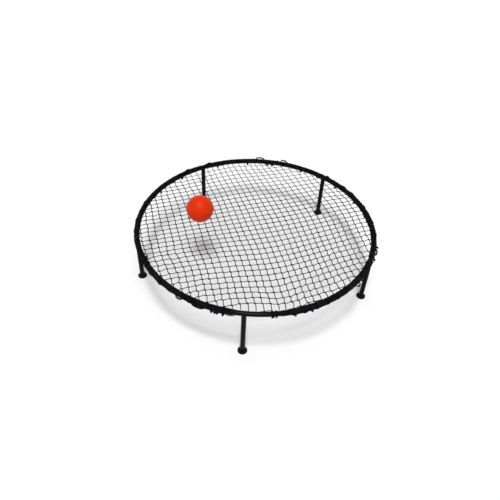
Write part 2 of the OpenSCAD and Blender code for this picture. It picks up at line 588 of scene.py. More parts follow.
@dataclass
class Ring:
    """Sizes of the tube ring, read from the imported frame.

    Attributes:
        slack: Gap left between the tube and the cords that lie on it.
        bare: Where the bare stretch of tube begins and ends, in degrees.
        tube_r: Outside radius of the tube.
        skin: Distance from the tube's centreline to the cords that lie on it.
        centre_r: Radius of the ring over the tube's centreline.
        height: Height of the tube's centreline.
    """

    slack: float = 0.3 * MM
    bare: tuple[float, float] = (-94.0, -68.0)
    tube_r: float = field(init=False)
    skin: float = field(init=False)
    centre_r: float = field(init=False)
    height: float = field(init=False)

    def __post_init__(self) -> None:
        """Measure the front leg and a rim tube."""
        low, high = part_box("leg_front")
        self.tube_r = (high.x - low.x) / 2
        self.skin = self.tube_r + self.slack
        self.centre_r = -(high.y + low.y) / 2
        low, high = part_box("rim_tube_back")
        self.height = (low.z + high.z) / 2

    def around(self, direction: Array, turn: Array | float, reach: Array | float) -> tuple[Array, Array]:
        """Place points round the tube.

        A point is the tube's centreline at direction, plus reach (sin turn outward + cos turn upward).

        Args:
            direction: Directions from the ring's centre, in radians.
            turn: Turns round the tube from its top, outward, in radians.
            reach: Distances from the tube's centreline.

        Returns:
            The points, and the outward direction from the tube at each.
        """
        direction, turn = np.broadcast_arrays(direction, turn)
        x, y = np.cos(direction), np.sin(direction)
        out = np.stack([x * np.sin(turn), y * np.sin(turn), np.cos(turn)], -1)
        spine = np.stack([self.centre_r * x, self.centre_r * y, np.full(x.shape, self.height)], -1)
        return spine + np.asarray(reach)[..., None] * out, out

    def is_bare(self, direction: Array) -> Array:
        """True where a direction in radians falls on the bare stretch of tube."""
        degrees = (np.degrees(direction) + 180.0) % 360.0 - 180.0
        return (degrees > self.bare[0]) & (degrees < self.bare[1])


# ---------------------------------------------------------------------------------------------------
# The stretched mesh
# ---------------------------------------------------------------------------------------------------


@dataclass(frozen=True)
class PullRing:
    """Pulls that stand evenly on a circle and draw the mesh aside.

    Attributes:
        radius: Radius of the circle.
        reach: How far from itself a pull is felt.
        start: Direction of the first pull, in degrees.
        first: What each pull moves the first family of cords by, in mm, anticlockwise.
        second: The same for the second family.
    """

    radius: float
    reach: float
    start: float
    first: tuple[float, ...]
    second: tuple[float, ...]

    def shift(self, points: Array, family: int) -> Array:
        """Add up amount times exp(-(distance / reach)^2) over the pulls.

        Args:
            points: Flat points.
            family: 0 for the first family of cords and 1 for the second.

        Returns:
            The move at each point, square to the family's cords.
        """
        amounts = np.array((self.first, self.second)[family]) * MM
        directions = math.radians(self.start) + 2.0 * np.pi * np.arange(len(amounts)) / len(amounts)
        centres = self.radius * np.stack([np.cos(directions), np.sin(directions)], -1)
        gap = np.linalg.norm(points[..., None, :] - centres, axis=-1)
        return (np.exp(-((gap / self.reach) ** 2)) * amounts).sum(-1)


# Broad pulls of the lacing all round, softer ones in the middle, short ones at the edge, and single folds.
MESH_PULLS = (
    PullRing(
        430 * MM,
        190 * MM,
        -90.0,
        (-3, -18, -19, 4, -9, -18, -6, -2, -7, 2),
        (5, -8, 17, 8, 2, 3, 9, -13, 2, 20),
    ),
    PullRing(230 * MM, 140 * MM, -72.0, (2, -5, 3, -2, -1, 7, 0, 5), (-10, -2, -2, -4, 5, -2, 2, 9)),
    PullRing(
        430 * MM,
        80 * MM,
        -90.0,
        (-4, -5, -4, -4, -6, -4, 5, 1, -5, 0, -8, -5, 1, -6, 0, 4, -3, -3, 5, -1),
        (8, -10, -2, 5, -1, 5, -1, -10, 2, -2, -5, 16, 6, -10, -1, 0, 4, 7, 6, 11),
    ),
    PullRing(354 * MM, 43 * MM, -144.0, (-6.7,), (0.0,)),
    PullRing(255 * MM, 63 * MM, -138.0, (-5.2,), (0.0,)),
    PullRing(360 * MM, 70 * MM, -74.0, (0.0,), (-9.2,)),
    PullRing(381 * MM, 60 * MM, 133.0, (0.0,), (-6.1,)),
    PullRing(366 * MM, 38 * MM, 30.0, (5.8,), (0.0,)),
)


@dataclass
class Netting:
    """The knotted square mesh, flat over the ring and turned down over the tube.

    Its two families of cords cross at knots. Far from the edge they are straight. Near the edge the lacing
    draws them aside. A knot is where both families' moved lines meet.

    Attributes:
        ring: The ring.
        pitch: Spacing of the cords.
        turn: Direction square to the first family, in degrees. The second is a quarter turn on.
        offsets: Places of the middle cord of each family.
        pulls: What draws the mesh aside.
        cord_r: Radii of the two families' cords.
        knot_size: Half length and half width of a knot.
        knot_spread: Spread of the knots' lengths and widths, as shares.
        knot_slant: How far a cord enters and leaves a knot to the side of its middle.
        lines: Cords of each family on either side of the middle one.
        steps: Points from one knot to the next.
        rounds: Rounds in which the pulls find the knots' own places.
        uneven: Spread of the knots' places, at the middle and at the edge.
        uneven_zone: Radius where that begins to grow, and how far on it has grown.
        slack_bow: How far a cord bows between two knots, at the middle and at the edge.
        bow_zone: Radius where that begins to grow, and how far on it has grown.
        stand_off: Gap between the mesh and the tube.
        wrap_turn: How far the mesh goes round the tube, in radians from its top.
        settle_turn: Turn in which the mesh comes down on to the tube, in radians.
        tight: How much thinner the cords are over the tube.
        tight_turn: Turn in which they thin, in radians.
        dip: How far the mesh dips inside the bare tube, and over what width.
        drawn_out: How much thinner the cords are towards the back, where the mesh is stretched most.
        back_zone: Where that begins behind the middle, and how far on it is full.
        seed: Seed of the unevenness.
        rng: Source of it.
        height: Height of the level mesh.
    """

    ring: Ring
    pitch: float = 25.6 * MM
    turn: float = 22.0
    offsets: tuple[float, float] = (-12.0 * MM, 11.0 * MM)
    pulls: tuple[PullRing, ...] = MESH_PULLS
    cord_r: tuple[float, float] = (1.55 * MM, 1.25 * MM)
    knot_size: tuple[float, float] = (4.4 * MM, 2.8 * MM)
    knot_spread: tuple[float, float] = (0.14, 0.08)
    knot_slant: float = 1.35 * MM
    lines: int = 20
    steps: int = 6
    rounds: int = 14
    uneven: tuple[float, float] = (0.5 * MM, 1.3 * MM)
    uneven_zone: tuple[float, float] = (300 * MM, 130 * MM)
    slack_bow: tuple[float, float] = (0.4 * MM, 1.2 * MM)
    bow_zone: tuple[float, float] = (320 * MM, 110 * MM)
    stand_off: float = 0.15 * MM
    wrap_turn: float = 2.6
    settle_turn: float = 0.5
    tight: float = 0.4
    tight_turn: float = 0.6
    dip: tuple[float, float] = (11 * MM, 17 * MM)
    drawn_out: float = 0.25
    back_zone: tuple[float, float] = (80 * MM, 300 * MM)
    seed: int = 11
    rng: np.random.Generator = field(init=False)
    height: float = field(init=False)

    def __post_init__(self) -> None:
        """Set the mesh's height from the frame's net."""
        low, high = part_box("net")
        self.height = (low.z + high.z) / 2
        self.rng = np.random.default_rng(self.seed)

    def knots(self) -> Array:
        """Flat places of the knots, found by letting the pulls act at the knots' own places.

        Returns:
            Points in the mesh's plane, first family by second family by 2.
        """
        turn = math.radians(self.turn)
        first = np.array([math.cos(turn), math.sin(turn)])
        second = np.array([-math.sin(turn), math.cos(turn)])
        numbers = np.arange(-self.lines, self.lines + 1) * self.pitch
        u, v = np.meshgrid(numbers + self.offsets[0], numbers + self.offsets[1], indexing="ij")
        points = u[..., None] * first + v[..., None] * second
        for _ in range(self.rounds):
            du = sum(pull.shift(points, 0) for pull in self.pulls)
            dv = sum(pull.shift(points, 1) for pull in self.pulls)
            points = (u + du)[..., None] * first + (v + dv)[..., None] * second
        edge = step_up(np.linalg.norm(points, axis=-1), *self.uneven_zone)
        spread = self.uneven[0] + (self.uneven[1] - self.uneven[0]) * edge
        return points + spread[..., None] * self.rng.normal(size=points.shape)

    def slant(self) -> Array:
        """From the middle of a knot to its far end: the knots lie across the corner of the meshes."""
        turn = math.radians(self.turn + 135.0)
        return self.knot_slant * math.sqrt(2.0) * np.array([math.cos(turn), math.sin(turn)])

    def cords(self, knots: Array, exit_end: Array) -> Array:
        """Flat paths through rows of knots, with a small sideways bow between each two.

        A cord enters a knot at one end and leaves it at the other. Between two knots the path is a straight
        line plus bow sin(pi t) square to it.

        Args:
            knots: Rows of knots, rows by knots by 2.
            exit_end: From the middle of a knot to the end where the cord leaves it.

        Returns:
            Paths, rows by points by 2.
        """
        rows, count, _ = knots.shape
        t = np.arange(self.steps) / (self.steps - 1)
        start, end = knots[:, :-1, None, :] + exit_end, knots[:, 1:, None, :] - exit_end
        line = start + (end - start) * t[:, None]
        side = unit(np.stack([-(end - start)[..., 1], (end - start)[..., 0]], -1))
        edge = step_up(np.linalg.norm(start, axis=-1), *self.bow_zone)
        size = self.slack_bow[0] + (self.slack_bow[1] - self.slack_bow[0]) * edge
        bow = size * self.rng.normal(size=(rows, count - 1, 1))
        paths = line + (bow * np.sin(np.pi * t))[..., None] * side
        return paths.reshape(rows, -1, 2)

    def lay(self, flat: Array) -> tuple[Array, Array, Array, Array]:
        """Lay flat points on the ring.

        Inside the tube's centreline the mesh is level. Past it, each mm of mesh goes a mm round the tube.
        At the bare stretch the mesh dips inside the tube instead.

        Args:
            flat: Points in the mesh's plane.

        Returns:
            Points in space, the way up from the mesh at each, True where the mesh exists, and how thick a
            cord is there, less than 1 where it is drawn out towards the back or tight over the tube.
        """
        radius = np.linalg.norm(flat, axis=-1)
        direction = np.arctan2(flat[..., 1], flat[..., 0])
        level_reach = self.height - self.ring.height
        close_reach = self.ring.tube_r + self.stand_off + (1.0 - self.tight) * max(self.cord_r)
        turn = np.maximum(radius - self.ring.centre_r, 0.0) / close_reach
        reach = level_reach + (close_reach - level_reach) * smooth_step(turn / self.settle_turn)
        over, out = self.ring.around(direction, turn, reach)
        level = np.stack([flat[..., 0], flat[..., 1], np.full_like(radius, self.height)], -1)
        past = (turn > 0.0)[..., None]
        points = np.where(past, over, level)
        up = np.where(past, out, np.array([0.0, 0.0, 1.0]))
        bare = self.ring.is_bare(direction)
        inner_edge = self.ring.centre_r - close_reach
        depth, width = self.dip
        points[..., 2] -= np.where(bare, depth * smooth_step((radius - inner_edge + width) / width), 0.0)
        shown = np.where(bare, radius < inner_edge, turn < self.wrap_turn)
        thinned = 1.0 - self.tight * smooth_step(turn / self.tight_turn)
        return points, up, shown, thinned * (1.0 - self.drawn_out * step_up(flat[..., 1], *self.back_zone))

    def build(self) -> list[bpy.types.Object]:
        """Build both families of cords and the knots.

        Returns:
            The three pieces.
        """
        knots = self.knots()
        slant = self.slant()
        families = (("first", knots, slant), ("second", knots.transpose(1, 0, 2), -slant))
        pieces = []
        for (name, rows, exit_end), radius in zip(families, self.cord_r):
            points, up, shown, thinned = self.lay(self.cords(rows, exit_end))
            pieces.append(cord_piece("net_cords_" + name, points, up, radius * thinned, shown))
        centres, up, shown, thinned = self.lay(knots)
        nudge = 0.1 * slant
        along = self.lay(knots + nudge)[0] - centres
        share = np.maximum(thinned[shown], 1.0 - self.drawn_out)
        lengths, widths = (
            size * share * (1.0 + spread * self.rng.normal(size=len(share)))
            for size, spread in zip(self.knot_size, self.knot_spread)
        )
        pieces.append(knot_piece("net_knots", centres[shown], along[shown], up[shown], lengths, widths))
        return pieces


# ---------------------------------------------------------------------------------------------------
# The gathered edge and its lacing
# ---------------------------------------------------------------------------------------------------


@dataclass(frozen=True)
class Lump:
    """A place where the gathered netting bunches.

    Attributes:
        direction: Direction from the ring's centre, in degrees.
        turn: Turn round the tube from its top, outward, in degrees.
        half_length: Half length along the tube, in mm.
        height: Height, in mm.
    """

    direction: float
    turn: float
    half_length: float
    height: float


# Bunches that stand out: underneath at the front, and on the outer top from the right leg to the back.
LUMPS = (
    Lump(-137.5, 130.0, 9.0, 3.0),
    Lump(-130.5, 130.0, 12.0, 3.6),
    Lump(-124.0, 130.0, 9.0, 2.4),
    Lump(-113.6, 130.0, 9.0, 3.0),
    Lump(-101.5, 130.0, 15.0, 3.0),
    Lump(-95.5, 127.0, 13.0, 5.4),
    Lump(-69.5, 120.0, 7.0, 2.2),
    Lump(-64.6, 125.0, 9.0, 3.6),
    Lump(-59.0, 130.0, 8.0, 2.8),
    Lump(-54.0, 130.0, 8.0, 2.0),
    Lump(-48.0, 128.0, 8.0, 1.8),
    Lump(0.5, 95.0, 10.0, 2.6),
    Lump(9.3, 90.0, 10.0, 2.8),
    Lump(16.8, 85.0, 7.0, 2.4),
    Lump(21.6, 80.0, 9.0, 3.4),
    Lump(33.2, 70.0, 10.0, 3.6),
    Lump(40.0, 65.0, 10.0, 3.6),
    Lump(52.0, 58.0, 9.0, 5.2),
    Lump(57.4, 228.0, 9.0, 4.0),
    Lump(122.2, 55.0, 8.0, 4.8),
    Lump(135.5, 60.0, 9.0, 4.8),
    Lump(147.0, 230.0, 10.0, 2.4),
    Lump(163.0, 230.0, 12.0, 1.8),
    Lump(171.0, 80.0, 10.0, 2.4),
    Lump(-175.0, 90.0, 10.0, 2.0),
    Lump(-167.0, 95.0, 10.0, 1.8),
)


# Where the gathered netting is thickest in each bay: turn round the tube, in degrees, and thickness, in mm.
BULK = {
    Bay.FRONT_RIGHT: (-48.0, 1.8),
    Bay.BACK_RIGHT: (-80.0, 1.6),
    Bay.BACK: (0.0, 0.0),
    Bay.BACK_LEFT: (-80.0, 1.0),
    Bay.FRONT_LEFT: (-60.0, 0.8),
}


@dataclass
class GatheredEdge:
    """The mesh's margin in one bay, gathered into strands along the tube and laced round it.

    The margins say how far a thing stays off the bare tube's right and left ends, in radians. The sleeve's
    and the lacing's are measured from where the strands end.

    Attributes:
        ring: The ring.
        bay: The bay.
        stub_gap: How far the netting stops from the middle of a leg's stub.
        strands: Number of gathered strands.
        strand_r: Radius of a strand.
        strand_turns: Turns of the first and the last strand round the tube, in degrees.
        strand_waver: Waver of those turns, in radians.
        strand_margin: Margin of the strands, less than 0 because they run out over the bare tube.
        ring_gap: Distance between the rings of the strands and of the sleeve.
        layer: How far a strand lies over the sleeve.
        layer_waver: Waver of that, as a share of it.
        layer_most: The most that it may be.
        late: How much later a strand may begin at the bare tube by chance, and how much later the top ones
            begin, in radians.
        top_zone: Turn where the strands no longer count as top ones, and in how many degrees that comes.
        rise_in: Angle in which a strand comes up to its height at the bare tube, in radians.
        swell_in: Angle in which it comes to its thickness there, in radians.
        tip: Thickness of its tip, as a share.
        shown_from: Share of its height at which it begins.
        sleeve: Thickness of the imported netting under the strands.
        sleeve_least: Thickness to which it runs out.
        sleeve_gap: Gap between it and the tube.
        sleeve_sides: Sides of it.
        sleeve_margin: Margin of it.
        folds: Height, number round the tube and slant of its folds.
        spread: How far round the tube a lump or a bulk is felt, in radians.
        scallop: Height of the scallops between the lacing's turns.
        scallop_turn: Turn round the tube where they are highest, in degrees.
        scallop_spread: How far round the tube they are felt, in radians.
        scallop_shift: How far they lie along from the lacing, as a share of its pitch.
        lace_r: Radius of the lacing.
        lace_pitch: Distance from one turn of the lacing to the next.
        lace_steps: Points in a turn of it.
        lace_waver: Waver of the distance along the tube.
        lace_turn_waver: Waver of its turn, in radians.
        lace_margin: Margin of it.
        lace_rise_in: Angle in which it comes up to the netting's height at the bare tube, in radians.
        knot_gap: Length of tube for each knot of the mesh among the strands.
        knot_span: Shares of the bay's length between which those knots lie.
        knot_turns: Least and greatest turn of them, in degrees.
        knot_shown_from: Share of the netting's thickness at the bare tube from which they show.
        knot_lift: How far their middles lie over the tube, in radii of a strand.
        knot_sunk: How far up the netting's thickness they lie, as a share.
        knot_size: Half length and half width of them.
        knot_lengths: Shortest and longest of them, as shares.
        knot_widths: Slimmest and thickest of them, as shares.
        thin_out: Angle in which the netting thins out at the bare tube, in radians.
        first_seed: Seed of the first bay's unevenness. Each bay has the next one.
        rng: Source of this bay's unevenness.
        start: Where the strands begin, in radians.
        end: Where they end, in radians.
        length: Their length along the tube.
        laced: Where the lacing begins and ends along that length.
    """

    ring: Ring
    bay: Bay
    stub_gap: float = 10 * MM
    strands: int = 17
    strand_r: float = 0.45 * MM
    strand_turns: tuple[float, float] = (-62.0, 236.0)
    strand_waver: Waver = Waver(0.20, 55 * MM)
    strand_margin: tuple[float, float] = (math.radians(-7.5), math.radians(-1.5))
    ring_gap: float = 2.4 * MM
    layer: float = 0.2 * MM
    layer_waver: Waver = Waver(0.8, 22 * MM)
    layer_most: float = 1.0 * MM
    late: tuple[float, float] = (0.04, 0.06)
    top_zone: tuple[float, float] = (100.0, 60.0)
    rise_in: float = 0.05
    swell_in: float = 0.02
    tip: float = 0.3
    shown_from: float = 0.02
    sleeve: float = 0.3 * MM
    sleeve_least: float = 0.05 * MM
    sleeve_gap: float = 0.2 * MM
    sleeve_sides: int = 28
    sleeve_margin: tuple[float, float] = (math.radians(4.5), math.radians(3.0))
    folds: tuple[float, float, float] = (0.2 * MM, 8.0, 7 * MM)
    spread: float = math.radians(50.0)
    scallop: float = 0.7 * MM
    scallop_turn: float = 100.0
    scallop_spread: float = math.radians(70.0)
    scallop_shift: float = 0.25
    lace_r: float = 0.65 * MM
    lace_pitch: float = 28 * MM
    lace_steps: int = 26
    lace_waver: Waver = Waver(1.5 * MM, 30 * MM)
    lace_turn_waver: Waver = Waver(0.3, 60 * MM)
    lace_margin: tuple[float, float] = (0.13, 0.04)
    lace_rise_in: float = 0.1
    knot_gap: float = 13 * MM
    knot_span: tuple[float, float] = (0.02, 0.98)
    knot_turns: tuple[float, float] = (-60.0, 232.0)
    knot_shown_from: float = 0.5
    knot_lift: float = 1.5
    knot_sunk: float = 0.9
    knot_size: tuple[float, float] = (3.2 * MM, 1.8 * MM)
    knot_lengths: tuple[float, float] = (0.8, 1.25)
    knot_widths: tuple[float, float] = (0.8, 1.2)
    thin_out: float = 0.12
    first_seed: int = 100
    rng: np.random.Generator = field(init=False)
    start: float = field(init=False)
    end: float = field(init=False)
    length: float = field(init=False)
    laced: tuple[float, float] = field(init=False)

    def __post_init__(self) -> None:
        """Seed the bay's own unevenness, and find where its strands and its lacing begin and end."""
        self.rng = np.random.default_rng(self.first_seed + list(Bay).index(self.bay))
        before, after = self.margins(self.strand_margin, self.stub_gap / self.ring.centre_r)
        self.start = math.radians(self.bay.value[0]) + before
        self.end = math.radians(self.bay.value[1]) - after
        self.length = (self.end - self.start) * self.ring.centre_r
        before, after = self.margins([angle * self.ring.centre_r for angle in self.lace_margin], self.lace_r)
        self.laced = (before, self.length - after)

    def margins(self, at_bare: Sequence[float], elsewhere: float) -> tuple[float, float]:
        """Pick the margins at the start and at the end of this bay.

        Args:
            at_bare: Margins off the right and the left end of the bare tube.
            elsewhere: Margin where the bay ends at a leg.

        Returns:
            The two margins.
        """
        before = at_bare[0] if self.bay is Bay.FRONT_RIGHT else elsewhere
        after = at_bare[1] if self.bay is Bay.FRONT_LEFT else elsewhere
        return before, after

    def thickness(self, direction: Array, turn: Array) -> Array:
        """Height of the gathered netting over its first layer.

        The bulk is its thickness times exp(-(turn from it / spread)^2). A lump is its height times
        exp(-(distance along / half length)^2) times exp(-(turn from it / spread)^2). The scallops between
        the lacing's turns are their height times |sin(pi distance / pitch)|, on the outer side.

        Args:
            direction: Directions, in radians.
            turn: Turns round the tube, in radians.

        Returns:
            Heights, in metres.
        """
        middle, bulk = BULK[self.bay]
        height = bulk * MM * np.exp(-((turn_between(turn, middle) / self.spread) ** 2))
        for lump in LUMPS:
            along = turn_between(direction, lump.direction) * self.ring.centre_r / (lump.half_length * MM)
            round_it = turn_between(turn, lump.turn) / self.spread
            height += lump.height * MM * np.exp(-(along**2) - round_it**2)
        distance = (direction - self.start) * self.ring.centre_r - self.laced[0]
        arch = np.abs(np.sin(np.pi * (distance - self.scallop_shift * self.lace_pitch) / self.lace_pitch))
        side = np.exp(-((turn_between(turn, self.scallop_turn) / self.scallop_spread) ** 2))
        return height + self.scallop * arch * side

    def fade(self, direction: Array, run_out: Array | float) -> Array:
        """Rise smoothly from 0 at the bare tube to 1, and be 1 in the bays away from it.

        Args:
            direction: Directions, in radians.
            run_out: Angle in which it rises.

        Returns:
            A share at each direction.
        """
        if self.bay is Bay.FRONT_RIGHT:
            return step_up(direction, self.start, run_out)
        if self.bay is Bay.FRONT_LEFT:
            return smooth_step((self.end - direction) / run_out)
        return np.ones_like(direction)

    def build_sleeve(self) -> bpy.types.Object:
        """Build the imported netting: a thin sleeve whose height is the thickness plus slanting folds.

        The folds are their height times cos(number turn + distance / slant).

        Returns:
            The piece.
        """
        before, after = self.margins([angle * self.ring.centre_r for angle in self.sleeve_margin], 0.0)
        last = self.length - after
        s = np.linspace(before, last, int((last - before) / self.ring_gap))[:, None]
        once_round = np.linspace(0.0, 2.0 * np.pi, self.sleeve_sides + 1)[:-1]
        turn = np.broadcast_to(once_round, (len(s), self.sleeve_sides))
        direction = np.broadcast_to(self.start + s / self.ring.centre_r, turn.shape)
        height, number, slant = self.folds
        folds = height * np.cos(number * turn + s / slant)
        swell = (self.sleeve + folds + self.thickness(direction, turn)) * self.fade(direction, self.thin_out)
        base = self.ring.tube_r + self.sleeve_gap
        outer, _ = self.ring.around(direction, turn, base + self.sleeve_least + np.maximum(swell, 0.0))
        inner, _ = self.ring.around(direction, turn, base)
        return sleeve_piece("packed_net_" + self.bay.label, outer, inner)

    def build_strands(self) -> bpy.types.Object:
        """Build the gathered strands. At the bare tube they begin one after another, the top ones last.

        Returns:
            The piece.
        """
        s = np.linspace(0.0, self.length, int(self.length / self.ring_gap))
        direction = np.broadcast_to(self.start + s / self.ring.centre_r, (self.strands, len(s)))
        middle = np.radians(np.linspace(*self.strand_turns, self.strands))
        turn = np.stack([m + self.strand_waver.along(s, self.rng) for m in middle])
        layer = self.layer * (1.0 + np.stack([self.layer_waver.along(s, self.rng) for _ in middle]))
        limit, width = np.radians(self.top_zone)
        on_top = smooth_step((limit - middle) / width)[:, None]
        step_in = self.rng.uniform(0.0, self.late[0], on_top.shape) + self.late[1] * on_top
        fade = self.fade(direction, self.rise_in + step_in)
        base = self.ring.tube_r + self.sleeve + 0.5 * self.strand_r
        reach = base + (np.clip(layer, 0.0, self.layer_most) + self.thickness(direction, turn)) * fade
        points, out = self.ring.around(direction, turn, reach)
        radii = self.strand_r * (self.tip + (1.0 - self.tip) * self.fade(direction, self.swell_in + step_in))
        return cord_piece("gathered_net_" + self.bay.label, points, out, radii, fade > self.shown_from)

    def build_lacing(self) -> bpy.types.Object:
        """Build the lacing: a coil whose pitch and turn waver, over the gathered strands.

        Returns:
            The piece.
        """
        first, last = self.laced
        turns = (last - first) / self.lace_pitch
        t = np.linspace(0.0, 1.0, int(turns * self.lace_steps))
        s = first + t * (last - first)
        s = np.clip(s + self.lace_waver.along(s, self.rng), first, last)
        turn = 2.0 * np.pi * turns * t + self.lace_turn_waver.along(s, self.rng)
        direction = self.start + s / self.ring.centre_r
        reach = self.ring.skin + self.sleeve + self.lace_r
        reach = reach + self.thickness(direction, turn) * self.fade(direction, self.lace_rise_in)
        points, out = self.ring.around(direction[None], turn[None], reach[None])
        return cord_piece("lacing_" + self.bay.label, points, out, self.lace_r)

    def build_knots(self) -> bpy.types.Object:
        """Build the knots of the mesh that lie among the strands.

        Returns:
            The piece.
        """
        count = int(self.length / self.knot_gap)
        direction = self.start + self.rng.uniform(*self.knot_span, count) * self.length / self.ring.centre_r
        turn = np.radians(self.rng.uniform(*self.knot_turns, count))
        kept = self.fade(direction, self.thin_out) > self.knot_shown_from
        direction, turn = direction[kept], turn[kept]
        netting = self.knot_sunk * self.thickness(direction, turn)
        reach = self.ring.skin + self.knot_lift * self.strand_r + netting
        centres, out = self.ring.around(direction, turn, reach)
        axis = along_ring(direction, self.rng.normal(size=len(turn)))
        lengths = self.knot_size[0] * self.rng.uniform(*self.knot_lengths, len(turn))
        widths = self.knot_size[1] * self.rng.uniform(*self.knot_widths, len(turn))
        return knot_piece("edge_knots_" + self.bay.label, centres, axis, out, lengths, widths)

    def build(self) -> list[bpy.types.Object]:
        """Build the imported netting, the strands, the lacing and the knots of this bay."""
        return [self.build_sleeve(), self.build_strands(), self.build_lacing(), self.build_knots()]


@dataclass
class EdgeCord:
    """The cord that runs along the outer lower side, from one end of the bare tube round to the other.

    Attributes:
        ring: The ring.
        radius: Radius of the cord.
        lift: How far it stands off the tube.
        lift_waver: Waver of that.
        lie: Turn round the tube where it lies in the bays, in degrees.
        lie_waver: Waver of that, in radians.
        swing: How far it turns outward to pass a leg's stub, in degrees.
        swing_width: Half width of that turn, in degrees.
        rings: Rings of the cord's mesh.
        seed: Seed of its waver.
    """

    ring: Ring
    radius: float = 1.3 * MM
    lift: float = 0.7 * MM
    lift_waver: Waver = Waver(0.3 * MM, 40 * MM)
    lie: float = 155.0
    lie_waver: Waver = Waver(0.06, 50 * MM)
    swing: float = 50.0
    swing_width: float = 4.0
    rings: int = 1300
    seed: int = 7

    def build(self) -> list[bpy.types.Object]:
        """Build the cord. Its turn is lie - swing exp(-(angle from a leg / swing width)^4), and it wavers.

        Returns:
            The one piece.
        """
        rng = np.random.default_rng(self.seed)
        first, last = math.radians(self.ring.bare[1]), math.radians(self.ring.bare[0] + 360.0)
        direction = np.linspace(first, last, self.rings)
        s = (direction - direction[0]) * self.ring.centre_r
        width = math.radians(self.swing_width)
        near = sum(np.exp(-((turn_between(direction, place.value) / width) ** 4)) for place in Place)
        turn = np.radians(self.lie - self.swing * near) + (1.0 - near) * self.lie_waver.along(s, rng)
        reach = self.ring.skin + self.radius + self.lift + np.abs(self.lift_waver.along(s, rng))
        points, out = self.ring.around(direction, turn, reach)
        return [cord_piece("edge_cord_run", points[None], out[None], self.radius, sides=8)]


@dataclass
class Lashings:
    """The two cord turns that tie the mesh to the bare tube, each with a knot below.

    Attributes:
        ring: The ring.
        places: Directions of the turns, in degrees.
        radius: Radius of the cord.
        turns: Turns of the cord at each place, a little under 2, so that its ends lie below.
        pitch: Distance from one turn to the next, in radii of the cord.
        begins: Turn round the tube where the cord begins, in degrees.
        steps: Points of the cord.
        knot_turn: Turn round the tube where the knots lie, in degrees.
        knot_lift: How far the knots stand off the cord.
        knot_climb: How far they climb in each metre along the ring.
        knot_length: Half length of each knot.
        knot_width: Half width of each knot.
    """

    ring: Ring
    places: tuple[float, ...] = (-78.3, -76.8)
    radius: float = 1.1 * MM
    turns: float = 1.94
    pitch: float = 2.3
    begins: float = 165.0
    steps: int = 90
    knot_turn: float = 138.0
    knot_lift: float = 0.6 * MM
    knot_climb: float = 0.3
    knot_length: tuple[float, ...] = (6.5 * MM, 3.6 * MM)
    knot_width: tuple[float, ...] = (2.8 * MM, 3.3 * MM)

    def build(self) -> list[bpy.types.Object]:
        """Build the turns and the knots.

        Returns:
            The two pieces.
        """
        places = np.radians(self.places)
        turn = np.linspace(0.0, 2.0 * np.pi * self.turns, self.steps)
        reach = self.ring.skin + self.radius
        shift = (turn / (2.0 * np.pi) - 1.0) * self.pitch * self.radius / self.ring.centre_r
        points, out = self.ring.around(places[:, None] + shift, turn + math.radians(self.begins), reach)
        coils = cord_piece("lashing_turns", points, out, self.radius, sides=8)
        centres, out = self.ring.around(places, math.radians(self.knot_turn), reach + self.knot_lift)
        sizes = (np.array(self.knot_length), np.array(self.knot_width))
        along = along_ring(places, self.knot_climb)
        return [coils, knot_piece("lashing_knots", centres, along, out, *sizes, grid=(14, 20))]


@dataclass(frozen=True)
class Loop:
    """A slack loop of cord, or a loose corner of the mesh, that stands off the gathered netting.

    Attributes:
        direction: Direction of its middle, in degrees.
        turn: Turn round the tube, in degrees.
        width: Distance between its feet, in mm.
        stand: How far it stands off, in mm.
    """

    direction: float
    turn: float
    width: float
    stand: float


# Loops that stand off at the right of the front, at the back and at the left of the front.
SLACK_LOOPS = (
    Loop(-35.0, 125.0, 18.0, 8.5),
    Loop(-11.9, 104.0, 34.0, 4.5),
    Loop(92.6, 50.0, 36.0, 5.5),
    Loop(79.1, 52.0, 26.0, 6.5),
    Loop(-118.9, 134.0, 26.0, 4.5),
    Loop(-109.6, 134.0, 44.0, 4.0),
)

# Knotted corners of the mesh that stick out or hang: width is the spread of their two cords.
MESH_CORNERS = (
    Loop(-31.7, 125.0, 9.0, 4.0),
    Loop(-8.3, 104.0, 8.0, 3.5),
    Loop(-17.1, 108.0, 9.0, 1.5),
    Loop(-103.4, 138.0, 9.0, 2.5),
    Loop(-102.0, 140.0, 9.0, 3.0),
    Loop(-100.9, 138.0, 9.0, 2.5),
    Loop(-98.5, 140.0, 9.0, 3.0),
    Loop(158.0, 236.0, 12.0, 2.0),
    Loop(140.8, 228.0, 12.0, 2.5),
    Loop(117.5, 226.0, 9.0, 2.5),
    Loop(99.7, 226.0, 9.0, 3.0),
    Loop(88.3, 226.0, 16.0, 4.0),
    Loop(85.3, 226.0, 9.0, 2.5),
    Loop(67.8, 226.0, 10.0, 2.5),
    Loop(44.3, 228.0, 7.0, 4.5),
    Loop(27.4, 252.0, 10.0, 3.0),
    Loop(-147.0, 300.0, 9.0, 3.0),
    Loop(-61.5, 132.0, 9.0, 1.5),
    Loop(-69.0, 132.0, 9.0, 1.5),
)


def columns(loops: tuple[Loop, ...]) -> tuple[Array, Array, Array, Array]:
    """Directions and turns in radians, and widths and stands in metres, a row for each loop."""
    direction, turn, width, stand = np.array([astuple(loop) for loop in loops]).T[:, :, None]
    return np.radians(direction), np.radians(turn), width * MM, stand * MM


